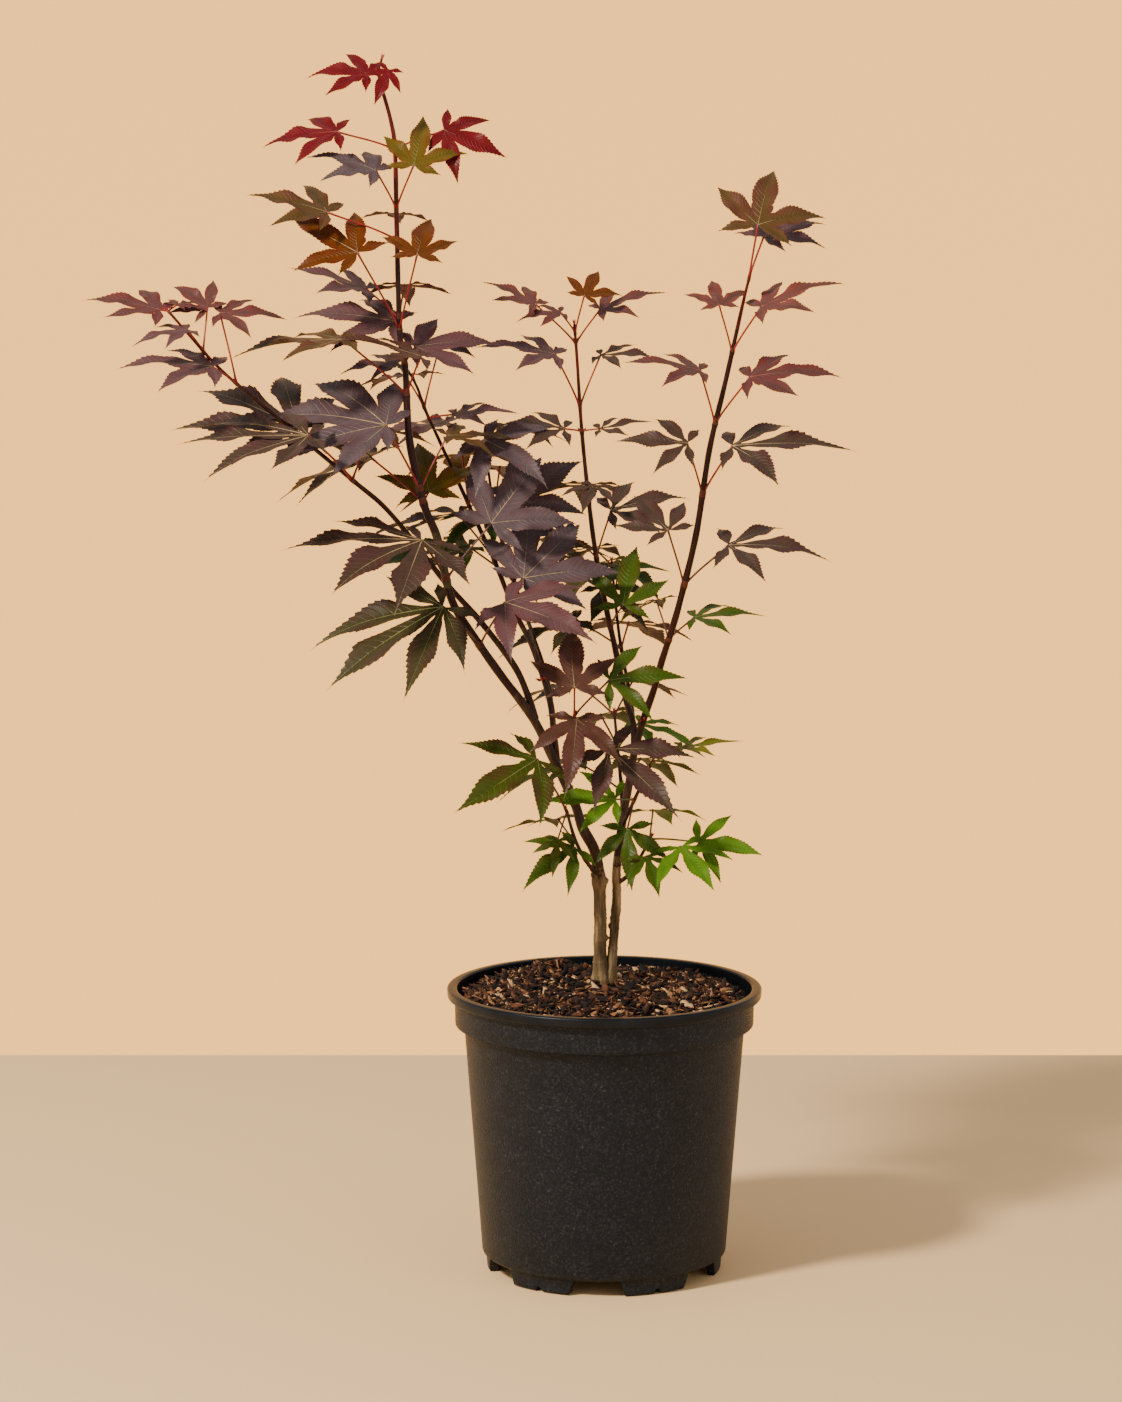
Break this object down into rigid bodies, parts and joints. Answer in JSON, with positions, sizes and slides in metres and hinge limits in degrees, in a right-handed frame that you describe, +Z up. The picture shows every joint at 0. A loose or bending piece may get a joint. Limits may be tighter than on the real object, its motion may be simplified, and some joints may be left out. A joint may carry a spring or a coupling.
{
  "type": "potted japanese maple",
  "caption": "Young japanese maple with two slim stems and open sprays of palmate leaves, growing in a round black nursery pot filled with bark.",
  "frame": {"origin": "middle of the flat underside of the pot, on the surface it stands on", "axes": "+Z up along the stems, +Y away from the front of the plant, +X to the right seen from the front"},
  "size_m": [0.5432, 0.3233, 0.8852],
  "materials": {
    "black_plastic": "fine grained, soft sheen",
    "bark_chips": "rough",
    "bark": "speckled bark",
    "young_bark": "smooth young bark",
    "leaf_purple": "satin leaf",
    "leaf_red": "satin leaf",
    "leaf_green": "satin leaf"
  },
  "bodies": {
    "root": {"pot": "black_plastic", "potting_bark": "bark_chips", "trunk": "bark", "bough_left": "bark", "bough_right": "bark", "bough_far_left": "young_bark", "bough_inner": "young_bark", "bough_back_left": "young_bark", "bough_middle": "young_bark", "bough_back_right": "young_bark", "leader_lower_foliage": "leaf_purple", "leader_upper_foliage": "leaf_red", "far_left_foliage": "leaf_purple", "inner_foliage": "leaf_purple", "middle_foliage": "leaf_purple", "right_foliage": "leaf_purple", "inner_front_foliage": "leaf_purple", "low_left_foliage": "leaf_green", "low_right_foliage": "leaf_green", "low_centre_foliage": "leaf_green", "low_back_foliage": "leaf_green", "back_left_foliage": "leaf_purple", "back_right_foliage": "leaf_green"}
  },
  "joints": []
}
